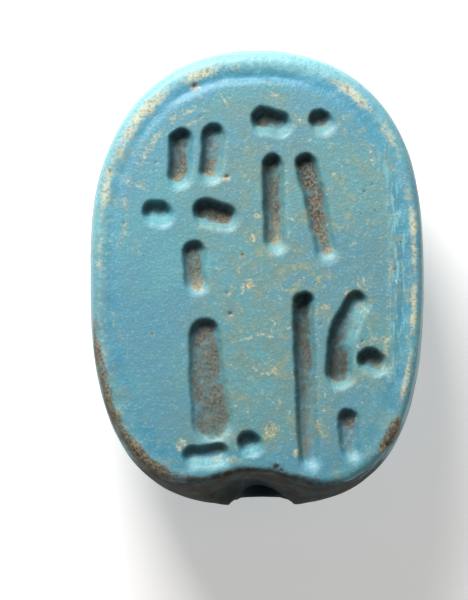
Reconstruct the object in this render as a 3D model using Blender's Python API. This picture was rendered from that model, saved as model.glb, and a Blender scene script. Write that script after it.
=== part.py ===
"""Faience scaraboid, 15 mm long: an oval bead with a flat engraved face, a domed back and a string hole.

It lies on a small flat on its back, so that the engraved face looks up.
Frame: +X across the face, +Y along it, +Z up through it; the origin is the middle of the flat on the back.
Units are metres.
"""

import math

import bmesh
import bpy
from mathutils import Matrix

# Overall size
LENGTH = 0.0150
WIDTH = 0.0110
HEIGHT = 0.0064

# The widest section, and the flat that the back rests on
GIRTH_HEIGHT = 0.0042
REST_LENGTH = 0.0036
REST_WIDTH = 0.0026
BACK_FULLNESS = 1.85  # 2 is an ellipse, less is leaner near the girth

# Plan of the outline: 2 is an ellipse, more is squarer
TOP_END_SQUARENESS = 2.4
LOW_END_SQUARENESS = 2.85
HAND_WOBBLE = 0.00005

# Wall between girth and face: how far it leans in, and its rounded upper edge, broadest at the top end
SIDE_LEAN = 0.00010
TOP_END_LEAN = 0.00028
LOW_END_LEAN = 0.00012
EDGE_DROP = 0.00034
EDGE_WIDTH = 0.00030
TOP_EDGE_WIDTH = 0.00050

# Border line scored round the face
BORDER_FROM_EDGE = 0.00032
BORDER_WIDTH = 0.00036
BORDER_FLOOR = 0.00014
BORDER_DEPTH = 0.00013

# String hole along the length, round inside, with mouths that the cord has worn wide and square
BORE_DIAMETER = 0.0015
BORE_HEIGHT = 0.0039
BORE_OFFSET = 0.00015
MOUTH_WIDTH = 0.00216
MOUTH_HEIGHT = 0.00172
MOUTH_DEPTH = 0.0009
MOUTH_SQUARENESS = 3.0
MOUTH_FLARE = 1.4

# Hollow worn into the lower end between the string hole and the face
WEAR_OFFSET = -0.00010
WEAR_DEPTH = 0.00082
WEAR_WIDTH_AT_HOLE = 0.0023
WEAR_WIDTH_AT_FACE = 0.0038
WEAR_FADE = 0.0007

# Engraved strokes, in rows: how deep they go, and how far above the face their round section is centred
STROKE_DEPTH = 0.00038
STROKE_AXIS_LIFT = 0.00005

# Start and end are shares of the half width and the half length, the bow is how far the middle swings to the
# left of the way from start to end, and the two half widths are shares of WIDTH.
STROKES = {
    "first_tick": ((-0.455, 0.625), (-0.475, 0.37), 0.01, 0.027, 0.025),
    "second_tick": ((-0.275, 0.645), (-0.30, 0.395), 0.01, 0.026, 0.024),
    "left_dash": ((-0.685, 0.275), (-0.505, 0.245), 0.0, 0.022, 0.026),
    "right_dash": ((-0.385, 0.285), (-0.115, 0.24), -0.01, 0.028, 0.027),
    "stub": ((-0.375, 0.13), (-0.365, -0.095), 0.0, 0.032, 0.028),
    "long_dash": ((-0.05, 0.675), (0.195, 0.635), 0.01, 0.029, 0.026),
    "short_dash": ((0.30, 0.665), (0.445, 0.64), 0.01, 0.026, 0.024),
    "upper_post": ((0.09, 0.51), (0.105, 0.085), 0.0, 0.026, 0.024),
    "leaning_post": ((0.27, 0.51), (0.42, 0.045), 0.01, 0.026, 0.025),
    "broad_post": ((-0.32, -0.21), (-0.265, -0.72), 0.0, 0.037, 0.056),
    "foot_dash": ((-0.455, -0.80), (-0.17, -0.785), -0.01, 0.024, 0.025),
    "dot": ((-0.06, -0.70), (-0.03, -0.79), 0.0, 0.026, 0.026),
    "tall_post": ((0.27, -0.09), (0.305, -0.85), -0.01, 0.030, 0.028),
    "lower_bow": ((0.625, -0.095), (0.50, -0.50), -0.07, 0.022, 0.027),
    "branch": ((0.60, -0.365), (0.745, -0.425), 0.01, 0.026, 0.023),
    "lower_post": ((0.525, -0.605), (0.555, -0.82), 0.0, 0.025, 0.022),
}

# Smoothness of the faceted solid
OUTLINE_SEGMENTS = 112
END_CROWDING = 0.2
BACK_STEPS = 10
WALL_STEPS = 4
EDGE_STEPS = 3
STROKE_STEPS = 9
BORE_SEGMENTS = 32
MOUTH_STEPS = 3

GLAZE_COLOUR = (0.12, 0.38, 0.47, 1.0)
GLAZE_ROUGHNESS = 0.38


def clear_scene():
    for old in list(bpy.data.objects):
        bpy.data.objects.remove(old)


def new_collection(name):
    collection = bpy.data.collections.new(name)
    bpy.context.scene.collection.children.link(collection)
    return collection


def new_object(name, mesh, collection):
    made = bpy.data.objects.new(name, mesh)
    collection.objects.link(made)
    return made


def glaze_material():
    glaze = bpy.data.materials.new("turquoise_faience")
    glaze.use_nodes = True
    shader = glaze.node_tree.nodes["Principled BSDF"]
    shader.inputs["Base Color"].default_value = GLAZE_COLOUR
    shader.inputs["Roughness"].default_value = GLAZE_ROUGHNESS
    shader.inputs["Metallic"].default_value = 0.0
    glaze.diffuse_color = GLAZE_COLOUR
    return glaze


def outline_radius(angle, half_x, top_y, low_y):
    """Distance from the axis to a hand-shaped superellipse of these half sizes, at this angle."""
    across = abs(math.cos(angle)) / half_x
    along = abs(math.sin(angle)) / (top_y if math.sin(angle) > 0 else low_y)
    top_share = 0.5 + 0.5 * math.sin(angle)
    squareness = LOW_END_SQUARENESS + (TOP_END_SQUARENESS - LOW_END_SQUARENESS) * top_share
    even = (across**squareness + along**squareness) ** (-1 / squareness)
    wobble = math.sin(3 * angle + 5.1) * math.sin(2 * angle) ** 2
    return even + HAND_WOBBLE * wobble * half_x / (WIDTH / 2)


def back_half_size(full, rest, height):
    """Half width of the domed back at this height: full / 2 at the girth and rest / 2 at the flat."""
    crown = GIRTH_HEIGHT / (1 - (rest / full) ** BACK_FULLNESS) ** (1 / BACK_FULLNESS)
    depth = (GIRTH_HEIGHT - height) / crown
    return full / 2 * (1 - depth**BACK_FULLNESS) ** (1 / BACK_FULLNESS)


def body_sections():
    """Sections from the rest flat up to the field: (height, half width, top half length, low half length)."""
    sections = []
    for step in range(BACK_STEPS):
        height = GIRTH_HEIGHT * math.sin(math.pi / 2 * step / BACK_STEPS) ** 1.3
        half_x = back_half_size(WIDTH, REST_WIDTH, height)
        half_y = back_half_size(LENGTH, REST_LENGTH, height)
        sections.append((height, half_x, half_y, half_y))
    edge_start = HEIGHT - EDGE_DROP
    for step in range(WALL_STEPS):
        share = step / WALL_STEPS
        height = GIRTH_HEIGHT + (edge_start - GIRTH_HEIGHT) * share
        top_y = LENGTH / 2 - TOP_END_LEAN * share**2
        low_y = LENGTH / 2 - LOW_END_LEAN * share**2
        sections.append((height, WIDTH / 2 - SIDE_LEAN * share**2, top_y, low_y))
    crest_x = WIDTH / 2 - SIDE_LEAN
    top_crest = LENGTH / 2 - TOP_END_LEAN
    low_crest = LENGTH / 2 - LOW_END_LEAN
    for step in range(EDGE_STEPS + 1):
        turn = math.pi / 2 * step / EDGE_STEPS
        height = edge_start + EDGE_DROP * math.sin(turn)
        inset = EDGE_WIDTH * (1 - math.cos(turn))
        top_inset = TOP_EDGE_WIDTH * (1 - math.cos(turn))
        sections.append((height, crest_x - inset, top_crest - top_inset, low_crest - inset))
    for across in (-BORDER_WIDTH, -BORDER_FLOOR, BORDER_FLOOR, BORDER_WIDTH):
        height = HEIGHT - BORDER_DEPTH if abs(across) == BORDER_FLOOR else HEIGHT
        inset = EDGE_WIDTH + BORDER_FROM_EDGE + across / 2
        top_inset = inset + TOP_EDGE_WIDTH - EDGE_WIDTH
        sections.append((height, crest_x - inset, top_crest - top_inset, low_crest - inset))
    return sections


def place_ring(ring, section):
    """Moves the ring's vertices to this section of the body, each along its own direction from the axis."""
    height, half_x, top_y, low_y = section
    for vertex in ring:
        angle = math.atan2(vertex.co.y, vertex.co.x)
        radius = outline_radius(angle, half_x, top_y, low_y)
        vertex.co = (radius * math.cos(angle), radius * math.sin(angle), height)


def wear_lower_end(vertices):
    """Presses the lower end in above the string hole, most widely at the face."""
    for vertex in vertices:
        x, y, z = vertex.co
        if y > 0 or z < GIRTH_HEIGHT:
            continue
        fade = min(1.0, (z - GIRTH_HEIGHT) / WEAR_FADE)
        rise = (z - GIRTH_HEIGHT) / (HEIGHT - GIRTH_HEIGHT)
        width = WEAR_WIDTH_AT_HOLE + (WEAR_WIDTH_AT_FACE - WEAR_WIDTH_AT_HOLE) * rise
        aside = (x - WEAR_OFFSET) / (width / 2)
        vertex.co.y += WEAR_DEPTH * fade * fade * (3 - 2 * fade) * math.exp(-aside * aside)


def extrude_ring(bm, loop):
    """Extrudes a closed loop of edges in place and returns the new loop's vertices and edges."""
    grown = bmesh.ops.extrude_edge_only(bm, edges=loop)["geom"]
    ring = [item for item in grown if isinstance(item, bmesh.types.BMVert)]
    fresh = set(ring)
    edges = [item for item in grown if isinstance(item, bmesh.types.BMEdge)]
    return ring, [edge for edge in edges if fresh.issuperset(edge.verts)]


def build_body(collection):
    """The uncut body: one ring at the rest flat, extruded and reshaped section by section, then capped."""
    sections = body_sections()
    bm = bmesh.new()
    made = bmesh.ops.create_circle(bm, radius=1.0, segments=OUTLINE_SEGMENTS, cap_ends=False)
    ring = made["verts"]
    for vertex in ring:
        angle = math.atan2(vertex.co.y, vertex.co.x)
        angle += END_CROWDING * math.sin(2 * angle)
        vertex.co = (math.cos(angle), math.sin(angle), 0)
    place_ring(ring, sections[0])
    loop = list(bm.edges)
    first_loop = loop
    for section in sections[1:]:
        ring, loop = extrude_ring(bm, loop)
        place_ring(ring, section)
    bmesh.ops.contextual_create(bm, geom=first_loop)
    bmesh.ops.contextual_create(bm, geom=loop)
    wear_lower_end(bm.verts)
    bmesh.ops.recalc_face_normals(bm, faces=bm.faces)
    mesh = bpy.data.meshes.new("scaraboid")
    bm.to_mesh(mesh)
    bm.free()
    return new_object("scaraboid", mesh, collection)


def stroke_path(start, end, bow):
    """Points along one stroke in the plan, in metres: a parabola from start to end, swung out by bow."""
    start_x, start_y = start[0] * WIDTH / 2, start[1] * LENGTH / 2
    run_x, run_y = end[0] * WIDTH / 2 - start_x, end[1] * LENGTH / 2 - start_y
    length = math.hypot(run_x, run_y)
    swing = bow * WIDTH / 2
    points = []
    for step in range(STROKE_STEPS + 1):
        along = 0.5 - 0.5 * math.cos(math.pi * step / STROKE_STEPS)
        aside = 4 * along * (1 - along) * swing
        x = start_x + along * run_x - aside * run_y / length
        y = start_y + along * run_y + aside * run_x / length
        points.append((x, y, along))
    return points, length


def stroke_cutter(name, stroke, collection):
    """A round-ended tube along the stroke, scaled in height so that it bites STROKE_DEPTH into the face."""
    start, end, bow, start_share, end_share = stroke
    points, length = stroke_path(start, end, bow)
    widest = max(start_share, end_share) * WIDTH
    curve = bpy.data.curves.new(name, "CURVE")
    curve.dimensions = "3D"
    curve.bevel_depth = widest
    curve.bevel_resolution = 3
    curve.use_fill_caps = True
    spline = curve.splines.new("POLY")
    spline.points.add(len(points) - 1)
    for point, (x, y, along) in zip(spline.points, points):
        half_width = (start_share + (end_share - start_share) * along) * WIDTH
        to_end = min(1.0, (min(along, 1 - along) * length + half_width * 0.2) / half_width)
        rounding = math.sqrt(1 - (1 - to_end) ** 2)
        point.co = (x, y, 0.0, 1.0)
        point.radius = rounding * half_width / widest
    tube = new_object(name, curve, collection)
    bpy.context.view_layer.update()
    graph = bpy.context.evaluated_depsgraph_get()
    mesh = bpy.data.meshes.new_from_object(tube.evaluated_get(graph))
    bpy.data.objects.remove(tube)
    bm = bmesh.new()
    bm.from_mesh(mesh)
    bmesh.ops.remove_doubles(bm, verts=bm.verts, dist=1e-7)
    section_height = (STROKE_DEPTH + STROKE_AXIS_LIFT) / widest
    bmesh.ops.scale(bm, vec=(1, 1, section_height), verts=bm.verts)
    bmesh.ops.translate(bm, vec=(0, 0, HEIGHT + STROKE_AXIS_LIFT), verts=bm.verts)
    bmesh.ops.recalc_face_normals(bm, faces=bm.faces)
    bm.to_mesh(mesh)
    bm.free()
    return new_object(name, mesh, collection)


def bore_radius(angle, openness):
    """Radius of the string hole in this direction. Openness is 0 inside the bore and 1 at the mouth."""
    flare = openness**MOUTH_FLARE
    half_width = (BORE_DIAMETER + (MOUTH_WIDTH - BORE_DIAMETER) * flare) / 2
    half_height = (BORE_DIAMETER + (MOUTH_HEIGHT - BORE_DIAMETER) * flare) / 2
    squareness = 2 + (MOUTH_SQUARENESS - 2) * openness
    across = abs(math.cos(angle)) / half_width
    upward = abs(math.sin(angle)) / half_height
    return (across**squareness + upward**squareness) ** (-1 / squareness)


def bore_cutter(collection):
    """The string hole with its flared mouths: a ring extruded along the bore and reshaped at each station."""
    end = LENGTH / 2
    mouth = []
    for step in range(MOUTH_STEPS + 1):
        openness = step / MOUTH_STEPS
        mouth.append((end - MOUTH_DEPTH * (1 - openness), openness))
    mouth.append((end + MOUTH_DEPTH, 1.0))
    stations = [(-along, openness) for along, openness in reversed(mouth)] + mouth
    bm = bmesh.new()
    upright = Matrix.Rotation(math.pi / 2, 4, "X")
    ring = bmesh.ops.create_circle(bm, radius=1.0, segments=BORE_SEGMENTS, matrix=upright)["verts"]
    loop = list(bm.edges)
    first_loop = loop
    for index, (along, openness) in enumerate(stations):
        if index > 0:
            ring, loop = extrude_ring(bm, loop)
        for vertex in ring:
            angle = math.atan2(vertex.co.z, vertex.co.x)
            radius = bore_radius(angle, openness)
            vertex.co = (radius * math.cos(angle), along, radius * math.sin(angle))
    bmesh.ops.contextual_create(bm, geom=first_loop)
    bmesh.ops.contextual_create(bm, geom=loop)
    bmesh.ops.recalc_face_normals(bm, faces=bm.faces)
    mesh = bpy.data.meshes.new("string_hole")
    bm.to_mesh(mesh)
    bm.free()
    cutter = new_object("string_hole", mesh, collection)
    cutter.location = (BORE_OFFSET, 0, BORE_HEIGHT)
    return cutter


def cut(body, cutter):
    cutter.hide_render = True
    cutter.display_type = "WIRE"
    difference = body.modifiers.new(cutter.name, "BOOLEAN")
    difference.operation = "DIFFERENCE"
    difference.solver = "EXACT"
    difference.object = cutter


def main():
    clear_scene()
    parts = new_collection("scaraboid_bead")
    cutters = new_collection("cutters")
    body = build_body(parts)
    body.data.materials.append(glaze_material())
    cut(body, bore_cutter(cutters))
    for name, stroke in STROKES.items():
        cut(body, stroke_cutter(name, stroke, cutters))
    body.data.shade_smooth()
    body.data.set_sharp_from_angle(angle=math.radians(35))


main()
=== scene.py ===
# %% [markdown]
# # A faience scaraboid
# The real thing is an oval bead of glazed composition, about 15 mm long. Its flat face was engraved while
# the paste was soft, then the whole was glazed turquoise and fired. Long wear and a long time in the soil
# did the rest. The imported solid gives the size and the place. Everything below is a finer mesh of the same
# form, and its glaze.

# %% Load the solid
import math

import bmesh
import bpy
import numpy as np
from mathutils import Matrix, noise


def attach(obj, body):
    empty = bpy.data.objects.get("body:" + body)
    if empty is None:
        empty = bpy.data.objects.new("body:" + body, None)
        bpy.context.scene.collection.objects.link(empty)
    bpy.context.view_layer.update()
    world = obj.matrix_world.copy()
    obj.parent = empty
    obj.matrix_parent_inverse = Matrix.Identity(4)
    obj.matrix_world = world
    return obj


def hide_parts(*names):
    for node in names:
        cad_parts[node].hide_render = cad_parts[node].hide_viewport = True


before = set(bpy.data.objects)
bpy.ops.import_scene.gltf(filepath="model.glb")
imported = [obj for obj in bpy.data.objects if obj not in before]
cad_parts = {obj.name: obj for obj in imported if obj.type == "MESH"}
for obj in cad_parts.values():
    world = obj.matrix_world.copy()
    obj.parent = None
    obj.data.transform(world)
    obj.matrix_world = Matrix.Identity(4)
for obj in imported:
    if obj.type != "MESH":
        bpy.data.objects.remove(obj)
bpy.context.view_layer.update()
MM = 0.001
print("nodes:", list(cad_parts))

# %% [markdown]
# ## The plan
# A bead like this was rolled and patted by hand, so its outline is neither an ellipse nor a rectangle. A
# curve drawn by hand could follow it, but then every height of the bead would need its own. A superellipse
# gives that soft shape from two half sizes and one number for its squareness, which here differs from end
# to end. All sizes are in millimetres until the mesh is finished, because they are easier to read that way.

# %% The outline seen from above
LENGTH, WIDTH, HEIGHT = 15.0, 11.0, 6.4
TOP_SQUARENESS, LOW_SQUARENESS = 2.4, 2.85
HAND_WOBBLE = 0.05


def outline_radius(angle, half_x, top_y, low_y):
    """Distance from the axis to the outline of these half sizes, in the direction of angle."""
    top_share = 0.5 + 0.5 * np.sin(angle)
    power = LOW_SQUARENESS + (TOP_SQUARENESS - LOW_SQUARENESS) * top_share
    across = np.abs(np.cos(angle)) / half_x
    along = np.abs(np.sin(angle)) / np.where(np.sin(angle) > 0, top_y, low_y)
    even = (across**power + along**power) ** (-1 / power)
    return even + HAND_WOBBLE * np.sin(3 * angle + 5.1) * np.sin(2 * angle) ** 2 * half_x / (WIDTH / 2)


def smoothstep(low, high, value):
    """0 below low and 1 above high, with a soft step between."""
    share = np.clip((value - low) / (high - low), 0, 1)
    return share * share * (3 - 2 * share)


def near(value, middle, spread):
    """1 where the value is at the middle, fading away over the spread on both sides."""
    return np.exp(-(((value - middle) / spread) ** 2))


diagonal = outline_radius(math.pi / 4, WIDTH / 2, LENGTH / 2, LENGTH / 2)
print("half outline at the diagonal:", round(float(diagonal), 2), "mm")

# %% [markdown]
# ## The side view
# From the face the edge rolls over, most broadly at the top end, the wall flares out to the girth, and the
# dome of the back runs down to a flat where the bead rests. Curves could be lofted for this. Here the
# outline is repeated at each height with its own half sizes, because then one list of (height, half width,
# top half length, low half length) describes the whole body outside the face's field, and any row can be
# changed alone.

# %% Rows of the body, from the field to the rest flat
GIRTH_HEIGHT = 4.2
REST_WIDTH, REST_LENGTH = 2.6, 3.6
BACK_FULLNESS = 1.85
SIDE_LEAN, TOP_END_LEAN, LOW_END_LEAN = 0.10, 0.28, 0.12
EDGE_DROP = 0.34
EDGE_WIDTH, TOP_EDGE_WIDTH = 0.30, 0.50
CREST_X, TOP_CREST, LOW_CREST = WIDTH / 2 - SIDE_LEAN, LENGTH / 2 - TOP_END_LEAN, LENGTH / 2 - LOW_END_LEAN
FIELD_INSET = 0.7
RIM_ROWS, EDGE_ROWS, WALL_ROWS, BACK_ROWS = 13, 7, 15, 26
BACK_ROW_CROWDING = 1.3


def back_half_size(full, rest, height):
    """Half the size of the domed back at this height, where its full and its rest size are given."""
    crown = GIRTH_HEIGHT / (1 - (rest / full) ** BACK_FULLNESS) ** (1 / BACK_FULLNESS)
    return full / 2 * (1 - ((GIRTH_HEIGHT - height) / crown) ** BACK_FULLNESS) ** (1 / BACK_FULLNESS)


rows = []
for past in np.linspace(FIELD_INSET, 0, RIM_ROWS):
    side, top = EDGE_WIDTH + past, TOP_EDGE_WIDTH + past
    rows.append((HEIGHT, CREST_X - side, TOP_CREST - top, LOW_CREST - side))
for turn in np.linspace(math.pi / 2, 0, EDGE_ROWS + 1)[1:]:
    side, top = EDGE_WIDTH * (1 - math.cos(turn)), TOP_EDGE_WIDTH * (1 - math.cos(turn))
    height = HEIGHT - EDGE_DROP * (1 - math.sin(turn))
    rows.append((height, CREST_X - side, TOP_CREST - top, LOW_CREST - side))
for share in np.linspace(1, 0, WALL_ROWS + 1)[1:]:
    height = GIRTH_HEIGHT + (HEIGHT - EDGE_DROP - GIRTH_HEIGHT) * share
    top_y, low_y = LENGTH / 2 - TOP_END_LEAN * share**2, LENGTH / 2 - LOW_END_LEAN * share**2
    rows.append((height, WIDTH / 2 - SIDE_LEAN * share**2, top_y, low_y))
for share in np.linspace(1, 0, BACK_ROWS + 1)[1:]:
    height = GIRTH_HEIGHT * math.sin(math.pi / 2 * share) ** BACK_ROW_CROWDING
    half_y = back_half_size(LENGTH, REST_LENGTH, height)
    rows.append((height, back_half_size(WIDTH, REST_WIDTH, height), half_y, half_y))
print("rows:", len(rows), "last row:", [round(float(value), 2) for value in rows[-1]])

# %% [markdown]
# ## The mesh
# The engraving needs small, even faces over the whole field. A spun or round shape would crowd them in the
# middle, and a grid spreads them. The rim wants rows that follow the outline. So a grid makes the field,
# and its border is extruded outwards and down, one row at a time. The new points remember which row they
# are in and in which direction they lie, so that they can be placed afterwards in one go.

# %% Grid for the field, extruded rows for the rest
FIELD_COLUMNS, FIELD_LINES = 170, 232
bm = bmesh.new()
row_of = bm.verts.layers.int.new("row")
bearing_of = bm.verts.layers.float.new("bearing")
bmesh.ops.create_grid(bm, x_segments=FIELD_COLUMNS, y_segments=FIELD_LINES, size=1.0)
for vertex in bm.verts:
    u, v = vertex.co.x, vertex.co.y
    x, y = rows[0][1] * u * math.sqrt(1 - v * v / 2), rows[0][3] * v * math.sqrt(1 - u * u / 2)
    vertex[bearing_of] = math.atan2(y, x)
    vertex.co = (x, y, HEIGHT)
border = [edge for edge in bm.edges if edge.is_boundary]
for row in range(1, len(rows)):
    grown = bmesh.ops.extrude_edge_only(bm, edges=border)["geom"]
    fresh = {item for item in grown if isinstance(item, bmesh.types.BMVert)}
    for vertex in fresh:
        vertex[row_of] = row
    border = [item for item in grown if isinstance(item, bmesh.types.BMEdge) and fresh.issuperset(item.verts)]
bmesh.ops.contextual_create(bm, geom=border)
print("points:", len(bm.verts), "faces:", len(bm.faces), "points round the rim:", len(border))

# %% [markdown]
# ## Placing the points
# The grid was bent to an ellipse above, with its lines kept smooth. Here each point moves out to the
# superellipse, the further from the middle the more, and each row goes to its own height and size. NumPy
# moves all of them at once. Last, the lower end is pressed in above the string hole, where the thread and
# handling have worn a hollow.

# %% Points to their places, and the worn hollow at the lower end
WEAR_OFFSET = -0.10
WEAR_DEPTH = 0.82
WEAR_WIDTH_AT_HOLE, WEAR_WIDTH_AT_FACE = 2.3, 3.8
WEAR_FADE = 0.7
WEAR_STARTS, WEAR_FULL = 2.5, 5.5


def in_scene(name, data):
    """Puts a new object with this data into the scene."""
    made = bpy.data.objects.new(name, data)
    bpy.context.scene.collection.objects.link(made)
    return made


def finished(shape, name):
    """Makes an object of a bmesh that has its final shape."""
    mesh = bpy.data.meshes.new(name)
    shape.to_mesh(mesh)
    shape.free()
    return in_scene(name, mesh)


def worn_hollow(x, y, z):
    """How far the lower end is pressed in at these points."""
    fade = smoothstep(0, WEAR_FADE, z - GIRTH_HEIGHT) * smoothstep(WEAR_STARTS, WEAR_FULL, -y)
    rise = np.clip((z - GIRTH_HEIGHT) / (HEIGHT - GIRTH_HEIGHT), 0, 1)
    width = WEAR_WIDTH_AT_HOLE + (WEAR_WIDTH_AT_FACE - WEAR_WIDTH_AT_HOLE) * rise
    return WEAR_DEPTH * fade * near(x, WEAR_OFFSET, width / 2)


row = np.array([vertex[row_of] for vertex in bm.verts])
bearing = np.array([vertex[bearing_of] for vertex in bm.verts])
place = np.array([vertex.co for vertex in bm.verts])
height, half_x, top_y, low_y = np.array(rows)[row].T
radius = outline_radius(bearing, half_x, top_y, low_y)
ellipse = 1 / np.hypot(np.cos(bearing) / half_x, np.sin(bearing) / low_y)
from_middle = np.hypot(place[:, 0], place[:, 1]) / ellipse
in_field = row == 0
radius[in_field] = (ellipse * from_middle * (1 + (radius / ellipse - 1) * from_middle**2))[in_field]
place = np.stack([radius * np.cos(bearing), radius * np.sin(bearing), height], axis=1)
place[:, 1] += worn_hollow(*place.T)
for vertex, spot in zip(bm.verts, place * MM):
    vertex.co = spot
bmesh.ops.recalc_face_normals(bm, faces=bm.faces)
scaraboid = finished(bm, "scaraboid_glazed")
print("blank in mm:", place.min(axis=0).round(2), place.max(axis=0).round(2))

# %% [markdown]
# ## The string hole
# The hole was made with a rod or reed while the paste was soft, so it is round inside. Cord has worn its
# mouths wide and rather square. A straight profile spun round the hole's axis makes a rod, and its points
# are moved out to the worn mouths. Where they break through the curved ends their edge runs up and down,
# which would be hard to build face by face, so a Boolean takes the shape away. The new edges at the mouths
# are then smoothed, because no worn edge on a glazed bead is sharp.

# %% Spin the hole's shape
BORE_HEIGHT, BORE_OFFSET, BORE_RADIUS = 3.9, 0.15, 0.75
MOUTH_HALF_WIDTH, MOUTH_HALF_HEIGHT, MOUTH_DEPTH = 1.08, 0.86, 0.9
MOUTH_SQUARENESS, MOUTH_FLARE = 3.0, 1.4
MOUTH_STATIONS, BORE_STATION, BORE_FACETS = 12, 3.5, 64
OVERRUN, SAME_POINT = 0.8, 1e-4
END = LENGTH / 2


def bore_radius(angle, openness):
    """Radius of the hole in this direction. Openness is 0 inside the hole and 1 at a mouth."""
    half_width = BORE_RADIUS + (MOUTH_HALF_WIDTH - BORE_RADIUS) * openness**MOUTH_FLARE
    half_height = BORE_RADIUS + (MOUTH_HALF_HEIGHT - BORE_RADIUS) * openness**MOUTH_FLARE
    power = 2 + (MOUTH_SQUARENESS - 2) * openness
    across, upward = abs(math.cos(angle) / half_width), abs(math.sin(angle) / half_height)
    return (across**power + upward**power) ** (-1 / power)


hole = bmesh.new()
worn_stations = np.linspace(-END, MOUTH_DEPTH - END, MOUTH_STATIONS)
stations = np.concatenate([[-END - OVERRUN], worn_stations, [-BORE_STATION, 0]])
stations = np.concatenate([stations, -stations[-2::-1]])
chain = [hole.verts.new((1, along, 0)) for along in stations]
chain = [hole.verts.new((0, stations[0], 0))] + chain + [hole.verts.new((0, stations[-1], 0))]
spokes = [hole.edges.new(pair) for pair in zip(chain, chain[1:])]
bmesh.ops.spin(hole, geom=chain + spokes, cent=(0, 0, 0), axis=(0, 1, 0), dvec=(0, 0, 0), angle=2 * math.pi,
               steps=BORE_FACETS, use_merge=True, use_normal_flip=False, use_duplicate=False)
bmesh.ops.remove_doubles(hole, verts=hole.verts, dist=SAME_POINT)
for vertex in hole.verts:
    x, y, z = vertex.co
    openness = min(1.0, max(0.0, (abs(y) - END + MOUTH_DEPTH) / MOUTH_DEPTH))
    reach = bore_radius(math.atan2(z, x), openness)
    vertex.co = ((x * reach + BORE_OFFSET) * MM, y * MM, (z * reach + BORE_HEIGHT) * MM)
bmesh.ops.recalc_face_normals(hole, faces=hole.faces)
print("hole:", len(hole.verts), "points")

# %% Cut the hole out
cutter = finished(hole, "string_hole")
cut = scaraboid.modifiers.new("string hole", "BOOLEAN")
cut.operation, cut.solver, cut.object = "DIFFERENCE", "EXACT", cutter
pierced = bpy.data.meshes.new_from_object(scaraboid.evaluated_get(bpy.context.evaluated_depsgraph_get()))
scaraboid.modifiers.clear()
scaraboid.data = pierced
bpy.data.objects.remove(cutter)
print("pierced:", len(pierced.vertices), "points,", len(pierced.polygons), "faces")

# %% [markdown]
# The Boolean gives its points and faces back in no fixed order, so they are sorted first by where they lie
# along one slanted line, and every run then numbers them alike. It also leaves faces with many corners at
# the mouths. They are split into triangles, and where two of those fold onto each other both are taken out,
# so that the skin stays closed. A bevel would stumble over these small faces, so the points near each
# mouth's edge are smoothed instead: a wide band a little, and then a narrow one more.

# %% Soften the mouths
LIP_REACHES_AND_ROUNDS = ((0.34, 4), (0.20, 6))
NEAR_MOUTH = 6.2


def along_slant(spot):
    """How far a spot lies along a slanted line, which differs from spot to spot."""
    return spot.x + 0.37 * spot.y + 0.11 * spot.z


bm = bmesh.new()
bm.from_mesh(pierced)
bm.verts.sort(key=lambda vertex: along_slant(vertex.co))
bm.faces.sort(key=lambda face: along_slant(face.calc_center_median()))
bmesh.ops.triangulate(bm, faces=[face for face in bm.faces if len(face.verts) > 4])
by_corners = {}
for face in bm.faces:
    by_corners.setdefault(frozenset(face.verts), []).append(face)
folded = [face for group in by_corners.values() if len(group) > 1 for face in group]
bmesh.ops.delete(bm, geom=folded, context="FACES")
for reach, rounds in LIP_REACHES_AND_ROUNDS:
    lip = []
    for vertex in bm.verts:
        x, y, z = np.array(vertex.co) / MM
        from_axis = math.hypot(x - BORE_OFFSET, z - BORE_HEIGHT)
        mouth_edge = bore_radius(math.atan2(z - BORE_HEIGHT, x - BORE_OFFSET), 1.0)
        if abs(y) > NEAR_MOUTH and abs(from_axis - mouth_edge) < reach:
            lip.append(vertex)
    for _ in range(rounds):
        bmesh.ops.smooth_vert(bm, verts=lip, factor=0.5, use_axis_x=True, use_axis_y=True, use_axis_z=True)
bm.to_mesh(pierced)
bm.free()
print("lip points smoothed:", len(lip), "folded faces taken out:", len(folded))

# %% [markdown]
# ## The engraving
# Each stroke was pressed and dragged with a blunt tool, tilted towards the upper left. So its upper and
# left wall is steep, and its lower and right wall climbs gently and rolls over in a broad shoulder.
# Booleans would cut walls as sharp as a machine's, so the mesh's own points sink instead, and how deep
# depends on how far a point is from the stroke's edge and on which side of the stroke it lies. The strokes
# are plain, stand in rows and say nothing.

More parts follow.
